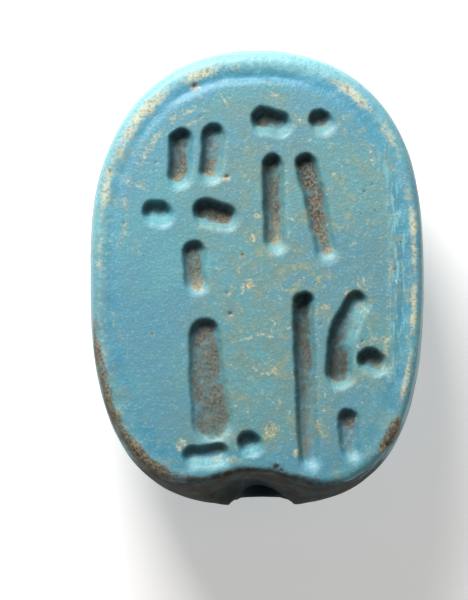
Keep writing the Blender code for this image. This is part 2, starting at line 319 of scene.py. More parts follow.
# %% Strokes
HALF_X, HALF_Y = WIDTH / 2, LENGTH / 2
STROKES = {
    # start and end as shares of the half sizes, bow, half widths and depths in mm at start and end
    "first_tick": ((-0.455, 0.62), (-0.475, 0.375), 0.01, (0.34, 0.32), (0.48, 0.3)),
    "second_tick": ((-0.265, 0.64), (-0.295, 0.4), 0.01, (0.33, 0.3), (0.46, 0.28)),
    "left_dash": ((-0.67, 0.27), (-0.515, 0.245), 0.0, (0.3, 0.33), (0.34, 0.44)),
    "right_dash": ((-0.37, 0.28), (-0.13, 0.24), -0.01, (0.36, 0.34), (0.48, 0.42)),
    "stub": ((-0.375, 0.13), (-0.365, -0.09), 0.0, (0.35, 0.34), (0.38, 0.16)),
    "long_dash": ((-0.035, 0.67), (0.185, 0.635), 0.01, (0.36, 0.33), (0.44, 0.48)),
    "short_dash": ((0.31, 0.66), (0.435, 0.64), 0.01, (0.32, 0.3), (0.46, 0.34)),
    "upper_post": ((0.09, 0.505), (0.105, 0.095), 0.0, (0.32, 0.3), (0.48, 0.26)),
    "leaning_post": ((0.27, 0.505), (0.415, 0.055), 0.01, (0.32, 0.31), (0.42, 0.16)),
    "broad_post": ((-0.32, -0.215), (-0.26, -0.745), 0.0, (0.46, 0.64), (0.33, 0.14)),
    "foot_dash": ((-0.43, -0.8), (-0.175, -0.785), -0.01, (0.3, 0.32), (0.28, 0.3)),
    "dot": ((-0.06, -0.71), (-0.035, -0.785), 0.0, (0.34, 0.33), (0.42, 0.38)),
    "tall_post": ((0.275, -0.095), (0.31, -0.85), -0.01, (0.31, 0.31), (0.58, 0.22)),
    "lower_bow": ((0.62, -0.1), (0.5, -0.495), -0.07, (0.31, 0.4), (0.3, 0.5)),
    "branch": ((0.6, -0.37), (0.74, -0.42), 0.01, (0.32, 0.3), (0.48, 0.4)),
    "lower_post": ((0.525, -0.605), (0.555, -0.815), 0.0, (0.31, 0.28), (0.36, 0.16)),
}
STROKE_SOIL = {
    # soil and its warmth at start and end, and how pale it is at the end
    "first_tick": ((0.7, 1.1), (0.4, 0.9), 0.7),
    "second_tick": ((0.5, 1.05), (0.2, 0.9), 0.6),
    "left_dash": ((0.1, 0.45), (0.0, 0.1), 0.3),
    "right_dash": ((0.85, 1.15), (0.2, 1.0), 0.3),
    "stub": ((1.0, 0.9), (0.45, 0.25), 1.0),
    "long_dash": ((1.1, 0.6), (0.6, 0.2), 0.4),
    "short_dash": ((0.6, 1.05), (0.3, 0.9), 0.6),
    "upper_post": ((0.95, 0.95), (0.3, 0.5), 1.0),
    "leaning_post": ((1.3, 0.9), (1.0, 0.7), 0.7),
    "broad_post": ((0.96, 0.84), (0.45, 0.25), 0.0),
    "foot_dash": ((0.2, 0.1), (0.2, 0.2), 0.3),
    "dot": ((0.2, 0.1), (0.0, 0.0), 0.0),
    "tall_post": ((1.0, 0.7), (0.4, 0.0), 0.25),
    "lower_bow": ((0.4, 1.15), (0.2, 0.5), 0.3),
    "branch": ((0.6, 0.9), (0.3, 0.6), 0.4),
    "lower_post": ((1.0, 0.55), (0.9, 0.2), 0.6),
}
print("strokes:", len(STROKES))

# %% How far a point is from a stroke
UP_LEFT = (-0.42, 0.91)


def stroke_edge(x, y, start, end, bow, half_widths):
    """Distance in mm from a stroke's edge (negative inside it), the share of the way along it, and the side:
    0 to the lower right of the stroke's middle line, 1 to the upper left."""
    ends = np.array([start, end]) * (HALF_X, HALF_Y)
    run = ends[1] - ends[0]
    length = np.hypot(*run)
    sideways = np.array([-run[1], run[0]]) / length
    stop = half_widths[0] / length, 1 - half_widths[1] / length
    shares = np.linspace(*stop, 9) if stop[0] < stop[1] else np.array([0.49, 0.51])
    path = ends[0] + shares[:, None] * run + (4 * shares * (1 - shares) * bow * HALF_X)[:, None] * sideways
    nearest, along, side = np.full(x.shape, np.inf), np.zeros(x.shape), np.zeros(x.shape)
    for (a, b), (from_share, to_share) in zip(zip(path, path[1:]), zip(shares, shares[1:])):
        step = b - a
        t = np.clip(((x - a[0]) * step[0] + (y - a[1]) * step[1]) / (step @ step), 0, 1)
        share = from_share + t * (to_share - from_share)
        off_x, off_y = x - a[0] - t * step[0], y - a[1] - t * step[1]
        off = np.hypot(off_x, off_y)
        gap = off - half_widths[0] - (half_widths[1] - half_widths[0]) * share
        closer = gap < nearest
        towards = 0.5 + 0.5 * (off_x * UP_LEFT[0] + off_y * UP_LEFT[1]) / np.maximum(off, 0.02)
        nearest[closer], along[closer], side[closer] = gap[closer], share[closer], towards[closer]
    return nearest, along, side


centre = np.zeros(1)
stub_gap = stroke_edge(centre, centre, *STROKES["stub"][:4])[0]
print("from the middle of the face to the stub's edge:", round(float(stub_gap[0]), 2), "mm")

# %% What the strokes do to each point
# How far a gentle and a steep wall reach inside and outside the stroke's edge, in mm
GENTLE_WALL, STEEP_WALL = (0.33, 0.21), (0.13, 0.09)


def from_to(pair, share):
    """The value this share of the way from the pair's first to its second."""
    return pair[0] + (pair[1] - pair[0]) * share


def engraving(x, y, ragged):
    """Depth in mm, and soil, its warmth and paleness, painted shade on the steep wall and the shoulder as
    shares.
    """
    depth, soil, warmth, pale, painted_shade, shoulder = (np.zeros(x.shape) for _ in range(6))
    for name, (start, end, bow, half_widths, depths) in STROKES.items():
        soils, warmths, pale_end = STROKE_SOIL[name]
        gap, along, side = stroke_edge(x, y, start, end, bow, half_widths)
        gap = gap + ragged
        steep = smoothstep(0.08, 0.46, side)
        inner, outer = (from_to(reaches, steep) for reaches in zip(GENTLE_WALL, STEEP_WALL))
        wall = 1 - smoothstep(0, 1, (gap + inner) / (inner + outer))
        here = from_to(depths, along**0.7)
        depth = np.maximum(depth, here * wall)
        filled = 1 - smoothstep(-0.20, 0.09, gap + 0.9 * ragged)
        warmth = np.where(filled > soil, from_to(warmths, along), warmth)
        pale = np.where(filled > soil, pale_end * smoothstep(0.55, 1.0, along), pale)
        soil = np.maximum(soil, from_to(soils, along) * filled)
        # the steep upper-left wall faces away from the key lamp, so it is painted dark here as shade
        on_steep_wall = (1 - smoothstep(-0.02, 0.09, gap)) * smoothstep(-0.40, -0.10, gap)
        painted_shade = np.maximum(painted_shade, on_steep_wall * smoothstep(0.40, 0.90, side) * smoothstep(0.08, 0.36, here))
        on_gentle_wall = smoothstep(-0.32, -0.12, gap) * (1 - smoothstep(0.0, 0.28, gap))
        lower_side = 1 - smoothstep(0.0, 0.45, side)
        shoulder = np.maximum(shoulder, lower_side * on_gentle_wall * smoothstep(0.0, 0.3, here))
    return depth, soil, warmth, pale, painted_shade, shoulder


print("deepest stroke:", max(max(stroke[4]) for stroke in STROKES.values()), "mm")

# %% [markdown]
# ## The border line, the rim and the pits
# A shallow line was scored round the face, deepest at the top. Outside it the rim stands as a low crest
# whose glaze is worn through in patches. Pits are burst bubbles and lost grit. A bump in the material could
# give them, but it fails when seen from the side, so they sink the same points as the strokes do. These
# small things decide whether glaze looks old, so the large pits are placed where the real one has them, and
# small ones are scattered by a seeded generator.

# %% Distance past the rounded edge, and the border line
BORDER_MIDDLE, BORDER_DEPTH = 0.34, 0.13
BORDER_OUTER_SPREAD, BORDER_INNER_SPREAD = 0.25, 0.16


def past_edge(x, y):
    """How far a point of the face lies inside the inner line of the rounded edge, in mm, and its bearing."""
    unworn = y - worn_hollow(x, y, np.full(x.shape, HEIGHT))
    angle = np.arctan2(unworn, x)
    half_x, top_y, low_y = CREST_X - EDGE_WIDTH, TOP_CREST - TOP_EDGE_WIDTH, LOW_CREST - EDGE_WIDTH
    edge = outline_radius(angle, half_x, top_y, low_y)
    inner = outline_radius(angle, half_x - 1, top_y - 1, low_y - 1)
    return (edge - np.hypot(x, unworn)) / (edge - inner), angle


def border_line(past, angle):
    """Depth of the scored line. Its inner side is the steeper, and it is strongest at the top."""
    at_top = np.clip(np.sin(angle - 0.12), 0, 1) ** 14 * (1 - 0.5 * smoothstep(1.83, 2.1, angle))
    at_sides = smoothstep(0.3, 0.8, np.abs(np.cos(angle)))
    strength = 0.14 + 0.18 * at_sides + 0.72 * at_top
    strength *= 1 - 0.5 * smoothstep(0.55, 0.95, -np.sin(angle))
    spread = np.where(past < BORDER_MIDDLE, BORDER_OUTER_SPREAD, BORDER_INNER_SPREAD)
    return BORDER_DEPTH * strength * near(past, BORDER_MIDDLE, spread)


print("border line at the top:", round(float(border_line(BORDER_MIDDLE, math.pi / 2)), 3), "mm deep")

# %% Pits
PITS = [
    # x, y, radius and depth in mm, dark soil in it, cream body round it
    (-2.04, 6.1, 0.13, 0.09, 0.9, 0.9), (-3.29, 3.55, 0.07, 0.05, 0.7, 0.3),
    (-4.8, 3.29, 0.09, 0.06, 0.8, 0.9), (-0.99, 3.09, 0.08, 0.05, 0.9, 1.0),
    (-0.49, 0.53, 0.12, 0.04, 0.7, 1.0), (-0.99, -0.72, 0.07, 0.07, 0.8, 0.5),
    (-0.89, -1.38, 0.1, 0.09, 1.0, 0.5), (3.39, -2.3, 0.08, 0.07, 1.0, 0.6),
    (3.85, -2.63, 0.07, 0.05, 1.0, 0.4), (0.59, -6.38, 0.12, 0.09, 1.0, 0.0),
    (0.79, -6.48, 0.08, 0.08, 1.0, 0.0), (4.02, -5.7, 0.09, 0.07, 1.0, 0.3),
    (-2.83, 6.12, 0.06, 0.05, 0.9, 0.0), (-1.85, 5.05, 0.05, 0.04, 0.7, 0.3),
    (4.45, 0.05, 0.06, 0.04, 0.7, 0.8), (2.05, -1.75, 0.07, 0.05, 0.7, 0.3),
    (2.45, -2.15, 0.06, 0.05, 0.6, 0.3), (-4.35, 1.55, 0.07, 0.04, 0.5, 0.6),
    (4.2, -5.64, 0.1, 0.08, 1.0, 0.8), (4.37, -5.56, 0.08, 0.07, 1.0, 0.2),
]
SMALL_PITS = 46
PIT_FILL, PIT_SQUASH = 0.6, 1.25
PITTED_MIDDLE, PITTED_HALF_X, PITTED_HALF_Y = 0.5, 4.6, 6.7
dice = np.random.default_rng(11)
for _ in range(SMALL_PITS):
    turn, reach = dice.uniform(0, 2 * math.pi), math.sqrt(dice.uniform(0.02, 1.0))
    pit_x = PITTED_MIDDLE + reach * PITTED_HALF_X * math.cos(turn)
    pit_y = reach * PITTED_HALF_Y * math.sin(turn)
    pit_size = dice.uniform(0.03, 0.06), dice.uniform(0.01, 0.03)
    PITS.append((pit_x, pit_y, *pit_size, dice.uniform(0.2, 0.9), dice.uniform(0, 0.5)))


def pitting(x, y, ragged):
    """Depth in mm of the pits, their dark share, and the pale body that shows round them."""
    depth, dark, pale = np.zeros(x.shape), np.zeros(x.shape), np.zeros(x.shape)
    for pit_x, pit_y, pit_radius, pit_depth, pit_dark, pit_pale in PITS:
        gap = np.hypot(x - pit_x, (y - pit_y) * PIT_SQUASH) / pit_radius + ragged
        depth = np.maximum(depth, PIT_FILL * pit_depth * (1 - smoothstep(0.3, 1.1, gap)))
        dark = np.maximum(dark, pit_dark * (1 - smoothstep(0.3, 1.0, gap)))
        below = np.hypot(x - pit_x, y - pit_y + pit_radius * 0.5) / pit_radius + 2.2 * ragged
        pale = np.maximum(pale, 0.6 * pit_pale * (1 - smoothstep(0.7, 1.9, below)))
    return depth, dark, pale


print("pits:", len(PITS))

# %% Bare spots and scratches
BARE_SPOTS = [
    # x, y, half width and half height in mm, strength
    (-0.3, -0.45, 0.3, 0.22, 1.0), (0.05, 1.78, 0.2, 0.18, 0.9), (-0.2, 1.05, 0.22, 0.2, 0.8),
    (2.2, -1.2, 0.48, 0.13, 1.0), (-2.0, -0.42, 0.24, 0.28, 0.9), (4.33, 0.0, 0.16, 0.22, 0.8),
    (3.95, 0.25, 0.2, 0.2, 0.5), (-4.3, 2.25, 0.24, 0.2, 0.4), (-4.38, 1.15, 0.26, 0.34, 0.5),
    (-2.15, 5.3, 0.45, 0.22, 0.6), (1.28, -5.9, 0.16, 0.2, 0.8), (4.15, -5.75, 0.28, 0.2, 1.0),
    (-1.0, -6.15, 0.65, 0.14, 0.6), (-2.5, -5.65, 0.24, 0.2, 0.6), (0.35, 5.75, 0.4, 0.16, 0.4),
    (3.0, -0.75, 0.3, 0.22, 0.7), (1.55, -2.6, 0.3, 0.4, 0.4), (2.0, -4.8, 0.16, 0.6, 0.4),
    (-3.75, 3.2, 0.35, 0.6, 0.5), (0.5, -5.2, 0.45, 0.3, 0.6), (3.65, -2.0, 0.5, 0.55, 0.4),
    (1.45, -1.95, 0.2, 0.35, 0.5), (-3.95, 0.8, 0.2, 0.5, 0.3), (2.6, -3.1, 0.3, 0.25, 0.4),
    (3.55, -1.25, 0.32, 0.32, 0.5), (-0.42, 0.5, 0.24, 0.14, 1.0), (0.3, -3.1, 0.42, 0.36, 0.5),
    (3.6, -0.45, 0.36, 0.24, 0.6), (0.75, -4.25, 0.4, 0.28, 0.4), (-4.2, 2.9, 0.22, 0.4, 0.4),
]
SCRATCHES = (
    # start and end
    ((-0.86, -2.35), (1.09, -1.85)),
    ((-0.3, -2.0), (0.5, -2.15)),
    ((-2.3, 4.75), (-1.75, 5.05)),
    ((-1.24, 5.86), (-0.94, 5.37)),
    ((1.3, -2.1), (1.9, -1.75)),
)
SCRATCH_STRENGTH, SCRATCH_HALF_WIDTH = 0.65, 0.10


def bareness(x, y, ragged):
    """Where the glaze has gone thin or been scratched through, 0 to 1."""
    bare = np.zeros(x.shape)
    for spot_x, spot_y, half_width, half_height, strength in BARE_SPOTS:
        reach = np.hypot((x - spot_x) / half_width, (y - spot_y) / half_height) + ragged
        bare = np.maximum(bare, strength * (1 - smoothstep(0.3, 1.3, reach)))
    for (start_x, start_y), (end_x, end_y) in SCRATCHES:
        run_x, run_y = end_x - start_x, end_y - start_y
        t = np.clip(((x - start_x) * run_x + (y - start_y) * run_y) / (run_x**2 + run_y**2), 0, 1)
        off = np.hypot(x - start_x - t * run_x, y - start_y - t * run_y)
        bare = np.maximum(bare, SCRATCH_STRENGTH * (1 - smoothstep(0.02, SCRATCH_HALF_WIDTH, off)))
    return bare


print("bare spots:", len(BARE_SPOTS), "scratches:", len(SCRATCHES))

# %% [markdown]
# ## Carving it all
# The points of the face only sink, so that the bead never outgrows its solid. Slow noise makes the
# hand-smoothed surface a little uneven, quicker noise roughens the crest, the strokes' edges and their
# floors, where soil has stuck.

# %% Read the points, and noise at three sizes
flat = np.empty(len(pierced.vertices) * 3, dtype=np.float32)
pierced.vertices.foreach_get("co", flat)
place = flat.reshape(-1, 3).astype(float) / MM


def uneven(points, size, shift):
    """Smooth noise from about -1 to 1 whose bumps are about this size in mm."""
    moved = points / size + shift
    return np.array([noise.noise(spot) for spot in moved.tolist()])


slow = uneven(place, size=2.6, shift=3.0)
knocks = uneven(place, size=0.55, shift=21.0)
grit = uneven(place, size=0.17, shift=9.0)
print("noise from", round(float(slow.min()), 2), "to", round(float(slow.max()), 2))

# %% Sink the points of the face and roughen the rim
# How far these sink, in mm
FACE_CLEARANCE, FACE_SWELL, SOIL_CRUST, GLAZE_GRIT = 0.012, 0.022, 0.016, 0.004
SHOULDER_DROP, CREST_DROP = 0.06, 0.022
# How much these draw in towards the axis, as shares of the distance from it
SIDE_CLEARANCE, SIDE_SWELL, SIDE_KNOCKS, CREST_SHRINK = 0.0004, 0.003, 0.0015, 0.0022
CREST_LINE, CREST_SPREAD = -0.02, 0.26
FACE_BAND = 0.03
x, y, z = place.T
face_share = smoothstep(HEIGHT - EDGE_DROP, HEIGHT - FACE_BAND, z)
past, angle = past_edge(x, y)
depth, soil, warmth, pale_soil, painted_shade, shoulder = engraving(x, y, 0.050 * knocks + 0.025 * grit)
pit_depth, pit_dark, pit_pale = pitting(x, y, 0.35 * grit + 0.35 * knocks)
bare = bareness(x, y, 0.9 * knocks + 0.5 * grit)
groove = border_line(past, angle) * (1 + 0.5 * knocks) * (1 - smoothstep(0.05, 0.25, depth))
on_crest = near(past, CREST_LINE, CREST_SPREAD) * smoothstep(5.5, 6.1, z)
sink = np.maximum(depth, SHOULDER_DROP * shoulder) + groove + pit_depth
sink += FACE_CLEARANCE + FACE_SWELL * (1 + slow) + (SOIL_CRUST * soil + GLAZE_GRIT) * (1 + grit)
# x, y and z look into place, so they follow each of these moves
place[:, 2] -= face_share * sink
place[:, 2] -= on_crest * CREST_DROP * (1 + knocks + 0.5 * grit)
place[:, :2] *= (1 - SIDE_CLEARANCE - CREST_SHRINK * on_crest * (1 + knocks))[:, None]
clear_of_mouths = smoothstep(1.2, 1.6, np.hypot(x - BORE_OFFSET, z - BORE_HEIGHT) + (np.abs(y) < 6.0))
swell = SIDE_SWELL * (1 + slow) + SIDE_KNOCKS * (1 + knocks)
place[:, :2] *= (1 - (1 - face_share) * clear_of_mouths * swell)[:, None]
pierced.vertices.foreach_set("co", (place * MM).astype(np.float32).ravel())
pierced.update()
print("deepest carving:", round(float(depth.max()), 2), "mm, highest point:", round(float(z.max()), 3), "mm")

# %% [markdown]
# ## What the glaze will need to know
# Soil, wear and pooled glaze follow the carving. They could be painted on by hand, but worked out from the
# carving they can't drift from it. So the mesh carries them as named amounts, mostly from 0 to 1, and the
# material reads them. First the rim: on the real bead its crest is worn through to the cream body in
# patches, and brown soil has stained the lower corners. Each patch is given by its bearing, its spread and
# its strength, so one function lays them all.

# %% Wear and soil round the rim
def round_rim(marks):
    """Strongest of some marks round the rim, each (bearing in degrees, spread in degrees, strength)."""
    strongest = np.zeros(len(place))
    for middle, spread, strength in marks:
        apart = np.abs((angle / math.pi * 180 - middle + 180) % 360 - 180) + 3 * knocks + 4 * slow
        strongest = np.maximum(strongest, strength * near(apart, 0, spread))
    return strongest


WORN = (
    (127, 17, 1.0), (106, 9, 1.0), (84, 12, 0.45), (62, 10, 1.0), (45, 12, 0.75), (12, 22, 1.0),
    (-14, 14, 1.0), (-35, 12, 1.0), (152, 14, 0.9), (176, 16, 0.75), (205, 14, 0.7), (225, 10, 0.6),
)
INNER_WORN = ((126, 16, 1.0), (-8, 16, 0.8), (-27, 12, 1.0), (20, 12, 0.6), (160, 14, 0.6))
BROWNED = ((208, 13, 1.0), (222, 14, 1.0), (238, 20, 1.0), (-50, 6, 1.0), (-38, 8, 0.5))
INNER_LINE = 0.80
crest_width = 0.15 + 0.12 * smoothstep(0.0, 0.7, np.sin(angle))
rim_wear = round_rim(WORN) * near(past, CREST_LINE, crest_width) * smoothstep(5.5, 6.1, z)
inner_wear = round_rim(INNER_WORN) * near(past, INNER_LINE, 0.16) * face_share
edge_reach = 0.10 - 0.12 * smoothstep(-0.75, -0.3, np.sin(angle))
outside_edge = 1 - smoothstep(-0.22, 0.04, past - edge_reach + 0.12 * knocks)
ragged_height = z + 0.8 * knocks + 0.6 * slow
low_edge = outside_edge * smoothstep(4.6, 6.1, ragged_height)
hollow_edge = near(past, -0.1, 0.1) * near(x, 0, 2.6) * smoothstep(5, 6, -y)
brown_edge = np.maximum(round_rim(BROWNED) * low_edge, 0.4 * hollow_edge)
print("rim wear at most:", round(float(rim_wear.max()), 2), "brown edge:", round(float(brown_edge.max()), 2))

# %% [markdown]
# Molten glaze runs thin over an edge and gathers in a line, so the border line is a deeper blue and the
# rolled edge is pale. On the side towards the lamp it is painted paler still, as a painted highlight, and
# the gentle lower walls of the strokes are painted pale too, as a painted highlight with no pooled blue.
# The film is the greenish bloom over the middle and right of the face, and the freckles are where olive and
# cream break that bloom. The streaks lie along the right side, where handling has rubbed it.

# %% Thin glaze with painted highlights, pooled and clouded glaze
# painted highlight: the rolled edge is painted paler on the side towards the key lamp
lamp_side_highlight = smoothstep(-0.2, 0.95, 0.8 * y / 7 - 0.35 * x / 5)
thin_edge = np.clip(1 - (past + 0.40) / 0.65, 0, 1) * smoothstep(4.8, 5.9, z)
# thin glaze on the rolled edge, with painted highlight on the lamp side and on the strokes' gentle lower
# walls
thin_glaze_and_highlight = np.maximum(thin_edge * (0.15 + 0.85 * lamp_side_highlight), 0.38 * shoulder * face_share)
line_share = 0.25 + 0.75 * np.clip(np.sin(angle), 0, 1) ** 1.5 + 0.65 * near(angle, -2.15, 0.30)
line_share = np.maximum(line_share, 0.6 * smoothstep(0.3, 0.8, np.abs(np.cos(angle))))
pooled_in_line = near(past, BORDER_MIDDLE, 0.30) * line_share
# no pooled blue where the strokes' lower walls carry the painted highlight
pooled_in_strokes = 0.40 * smoothstep(0.03, 0.3, depth) * (1 - soil) * (1 - shoulder)
pooled = np.clip(pooled_in_line + pooled_in_strokes, 0, 1) * face_share
film = 0.22 + 0.78 * smoothstep(-3.4, 0.4, x + 0.2 * np.abs(y))
film *= 0.25 + 0.75 * smoothstep(0.35, 1.0, past)
film *= 1 - 0.3 * smoothstep(0.8, 3.0, x) - 0.3 * smoothstep(3.0, 6.0, y)
left_crest = near(past, 0.05, 0.35) * smoothstep(0.2, 0.9, -np.cos(angle))
film = np.maximum(film, 0.85 * left_crest) * face_share
freckled = np.maximum(smoothstep(-3.0, 2.5, x - 0.15 * y), 0.7 * near(past, 0.3, 0.5))
freckled *= 1 - 0.7 * smoothstep(0.60, 0.95, np.sin(angle)) * (1 - smoothstep(0.3, 0.8, past))
freckled += 0.45 * near(x, 0.3, 1.9) * near(y, -1.2, 2.8)
freckled = 0.6 + (freckled - 0.6) * face_share
streaked = near(past, 0.50, 0.28) * smoothstep(0.55, 0.95, np.cos(angle)) * face_share
print("mean film:", round(float(film.mean()), 2), "mean pooled:", round(float(pooled.mean()), 3))

# %% [markdown]
# Dark soil is caked on the lower end round the string hole, up to the edge of the worn hollow. That end
# faces away from the key lamp, so its darkness is partly painted shade, and the walls at the two lower
# corners carry dust with painted shade over it. A little soil rings the far mouth. The inside of the hole
# is painted near black as shade. On the hidden sides the glaze is plain, and it is worn at the girth and
# where the bead rests.

# %% Soil and painted shade on the lower end, painted shade in the hole, wear on the hidden sides
# dust with painted shade on the lower corner walls, which face away from the key lamp
DUST_AND_SHADE = ((-60, 18, 0.8), (228, 26, 0.85))
dust_and_shade_wall = round_rim(DUST_AND_SHADE) * (1 - smoothstep(-0.40, -0.12, past + 0.1 * knocks))
dust_and_shade_wall *= smoothstep(4.0, 5.8, ragged_height)
from_hole = np.hypot(x, 1.7 * (z - 4.8)) + 0.8 * slow + 0.5 * knocks
round_hole = (1 - smoothstep(3.3, 5.6, from_hole)) * smoothstep(4.4, 6.4, -y + 0.4 * knocks)
# caked soil with painted shade on the lower end and at the lip of the hollow
caked_end_and_shade = round_hole * (1 - smoothstep(0.1, 0.9, face_share + 0.2 * knocks + 0.12 * grit))
caked_edge_and_shade = round_hole * (1 - smoothstep(-0.22, 0.08, past + 0.12 * knocks)) * np.exp(-((x / 3.2) ** 4))
from_hole_axis = np.hypot(x - BORE_OFFSET, z - BORE_HEIGHT)
far_mouth = np.exp(-(((from_hole_axis + 0.3 * knocks) / 1.35) ** 4)) * smoothstep(6.2, 6.9, y)
soil_and_shade = np.maximum.reduce([caked_end_and_shade, 0.95 * caked_edge_and_shade, 0.85 * far_mouth, dust_and_shade_wall])
in_bore = 1 - smoothstep(0.04, 0.30, from_hole_axis - BORE_RADIUS)
in_bore *= 1 - smoothstep(6.7, 7.3, np.abs(y))
worn_girth = 0.5 * near(z, GIRTH_HEIGHT, 0.3) * (0.5 + slow)
worn_body = worn_girth + 0.6 * (1 - smoothstep(0.05, 0.5, z))
print("mean stain:", round(float(soil_and_shade.mean()), 2), "points in the hole:", int((in_bore > 0.5).sum()))

# %% Store the amounts on the mesh
AMOUNTS = {
    "soil": soil * face_share,
    "warmth": warmth * face_share,
    "speckled": 0.06 + 0.70 * warmth * face_share,
    "pale_soil": pale_soil * face_share,
    # painted shade: the soil is painted darker where the carving is deep
    "painted_deep_shade": 0.9 * smoothstep(0.28, 0.60, depth) * face_share,
    # the inside of the hole is painted dark as shade, like the steep walls of the strokes
    "painted_shade": np.maximum(painted_shade * face_share, np.minimum(2.5 * in_bore, 1.6)),
    "rim_wear": rim_wear,
    "brown_edge": brown_edge,
    "thin_glaze_and_highlight": thin_glaze_and_highlight,
    "pooled": 0.7 * pooled,
    "film": film,
    "freckled": freckled,
    "streaked": streaked,
    "bare": np.maximum(np.maximum(bare * face_share, 0.62 * inner_wear), worn_body),
    "dull_wall": 0.5 * (1 - face_share),
    "soil_and_shade": soil_and_shade,
    "pit_dark": pit_dark * face_share,
    "pit_pale": pit_pale * face_share,
}
for name, values in AMOUNTS.items():
    layer = pierced.attributes.new(name, "FLOAT", "POINT")
    layer.data.foreach_set("value", values.astype(np.float32))
for left_over in ("row", "bearing"):
    if left_over in pierced.attributes:
        pierced.attributes.remove(pierced.attributes[left_over])
pierced.shade_smooth()
print("amounts:", {name: round(float(values.mean()), 3) for name, values in AMOUNTS.items()})

# %% [markdown]
# ## The glaze
# Egyptian faience has a thin fired alkaline glaze, coloured with copper. To the eye that is turquoise,
# glassy but worn to a satin, deeper where it pooled and paler where it ran thin, with cream body showing
# where it has gone. A painted image could carry all this, but it would blur close up, so nodes mix it from
# patterns and from the mesh's amounts. Colours are given in hex as a screen shows them and turned to linear
# light by one function.

# %% Colours and the function that adds a node
def linear(hex_colour):
    """A #RRGGBB colour as linear RGBA."""
    parts = [int(hex_colour[index:index + 2], 16) / 255 for index in (1, 3, 5)]
    return [part / 12.92 if part <= 0.04045 else ((part + 0.055) / 1.055) ** 2.4 for part in parts] + [1.0]


GLAZE, GLAZE_BLUE = linear("#5896A0"), linear("#528DA0")
# the thin glaze colour on the next line also serves as painted highlight
GLAZE_POOLED, GLAZE_THIN_AND_HIGHLIGHT = linear("#3689A6"), linear("#98D2D4")
BLOOM, OLIVE, STRAW = linear("#6C8375"), linear("#87977F"), linear("#A6A684")
CREAM, TAN, SANDY = linear("#DCD3AE"), linear("#9C8864"), linear("#A28B72")
# the dark soil colour on the next line serves as dark specks and pit soil, and as painted shade in deep
# carving
BROWN, RUST, DARK_SOIL_AND_SHADE = linear("#443A30"), linear("#765A45"), linear("#2D2D26")
# the caked soil colour on the next line is soil with painted shade, for the lower end
GREY_SOIL, PALE_SOIL, CAKED_SOIL_AND_SHADE = linear("#606F6A"), linear("#A09F86"), linear("#484B46")
# the last colour on the next line is painted shade, for steep stroke walls, the hole and the shaded end
EDGE_BROWN, EDGE_GREY, PAINTED_SHADE_COLOUR = linear("#615A4E"), linear("#91876F"), linear("#273A40")

glaze = bpy.data.materials.new("faience_turquoise_glaze")
glaze.use_nodes = True
tree = glaze.node_tree
tree.nodes.clear()


def add(kind, inputs, **settings):
    """Adds a node with its settings. Each input is a value, or a socket to link from."""
    made = tree.nodes.new(kind)
    for name, value in settings.items():
        setattr(made, name, value)
    for name, value in inputs.items():
        if isinstance(value, bpy.types.NodeSocket):
            tree.links.new(value, made.inputs[name])
        else:
            made.inputs[name].default_value = value
    return made


print("glaze in linear light:", [round(part, 3) for part in GLAZE[:3]])

# %% [markdown]
# ## Patterns
# A texture's scale is how many of its bumps fit in a metre here, so a grain of 0.1 mm needs about 10 000.
# Seven patterns do all the work: slow blotches and smaller drifts in the glaze, ragged patches, crumbs of
# soil, fine grain, sparse specks, and streaks drawn out along the bead. The finest grain of the real glaze
# is only a few hundredths of a millimetre, too fine to show, so it is drawn as coarse as it needs to be at
# this size.

# %% Noise patterns at real sizes
where = add("ShaderNodeTexCoord", {}).outputs["Object"]
drawn_out = add("ShaderNodeMapping", {"Vector": where, "Scale": (1.0, 0.15, 1.0)}).outputs["Vector"]
PATTERNS = {
    # size in mm, detail, roughness
    "blotches": (2.4, 2.0, 0.55),
    "drifts": (1.1, 2.0, 0.55),
    "patches": (0.50, 5.0, 0.62),
    "specks": (0.24, 5.0, 0.72),
    "crumbs": (0.17, 4.0, 0.65),
    "streaks": (0.10, 3.0, 0.6),
    "grain": (0.085, 3.0, 0.6),
}
pattern = {}
for name, (size_mm, detail, roughness) in PATTERNS.items():
    spacing = {"Vector": drawn_out if name == "streaks" else where, "Scale": 1 / (size_mm * MM)}
    noise_node = add("ShaderNodeTexNoise", {**spacing, "Detail": detail, "Roughness": roughness})
    pattern[name] = noise_node.outputs["Fac"]
blotches, drifts, patches, specks, crumbs, streaks, grain = pattern.values()
amount = {}
for name in AMOUNTS:
    amount[name] = add("ShaderNodeAttribute", {}, attribute_name=name).outputs["Fac"]
print("patterns:", len(pattern), "amounts:", len(amount))

# %% [markdown]
# A finish never ends in a clean line on an old bead: it thins out through the pattern of what lies under
# it. So every coat below is laid in the same way. A pattern climbs from a low to a high value, the coat
# grows with it from its least to its most, and it shows only where the mesh's amount lets it. Sockets that
# share a name are given by their place: a Mix node's are 0 for the share, 2 and 3 for two numbers, and 6
# and 7 for two colours.

# %% One coat over another
def coverage(pattern_value, low, high, least=0.0, most=1.0, only=1.0):
    """How much of a coat shows: least to most as the pattern climbs from low to high, times only."""
    climb = {"Value": pattern_value, "From Min": low, "From Max": high, "To Min": least, "To Max": most}
    climbed = add("ShaderNodeMapRange", climb, interpolation_type="SMOOTHSTEP").outputs["Result"]
    return add("ShaderNodeMath", {0: climbed, 1: only}, operation="MULTIPLY").outputs[0]


def coat(below, above, *pattern_and_range, **limits):
    """Lays one coat over another, both colours, where the pattern and the limits show it."""
    shown = coverage(*pattern_and_range, **limits)
    return add("ShaderNodeMix", {0: shown, 6: below, 7: above}, data_type="RGBA").outputs[2]


colour = coat(GLAZE, GLAZE_BLUE, blotches, 0.38, 0.62)
colour = coat(colour, BLOOM, patches, 0.15, 0.75, most=0.85, only=amount["film"])
pool = {0: amount["pooled"], 6: colour, 7: GLAZE_POOLED}
colour = add("ShaderNodeMix", pool, data_type="RGBA").outputs[2]
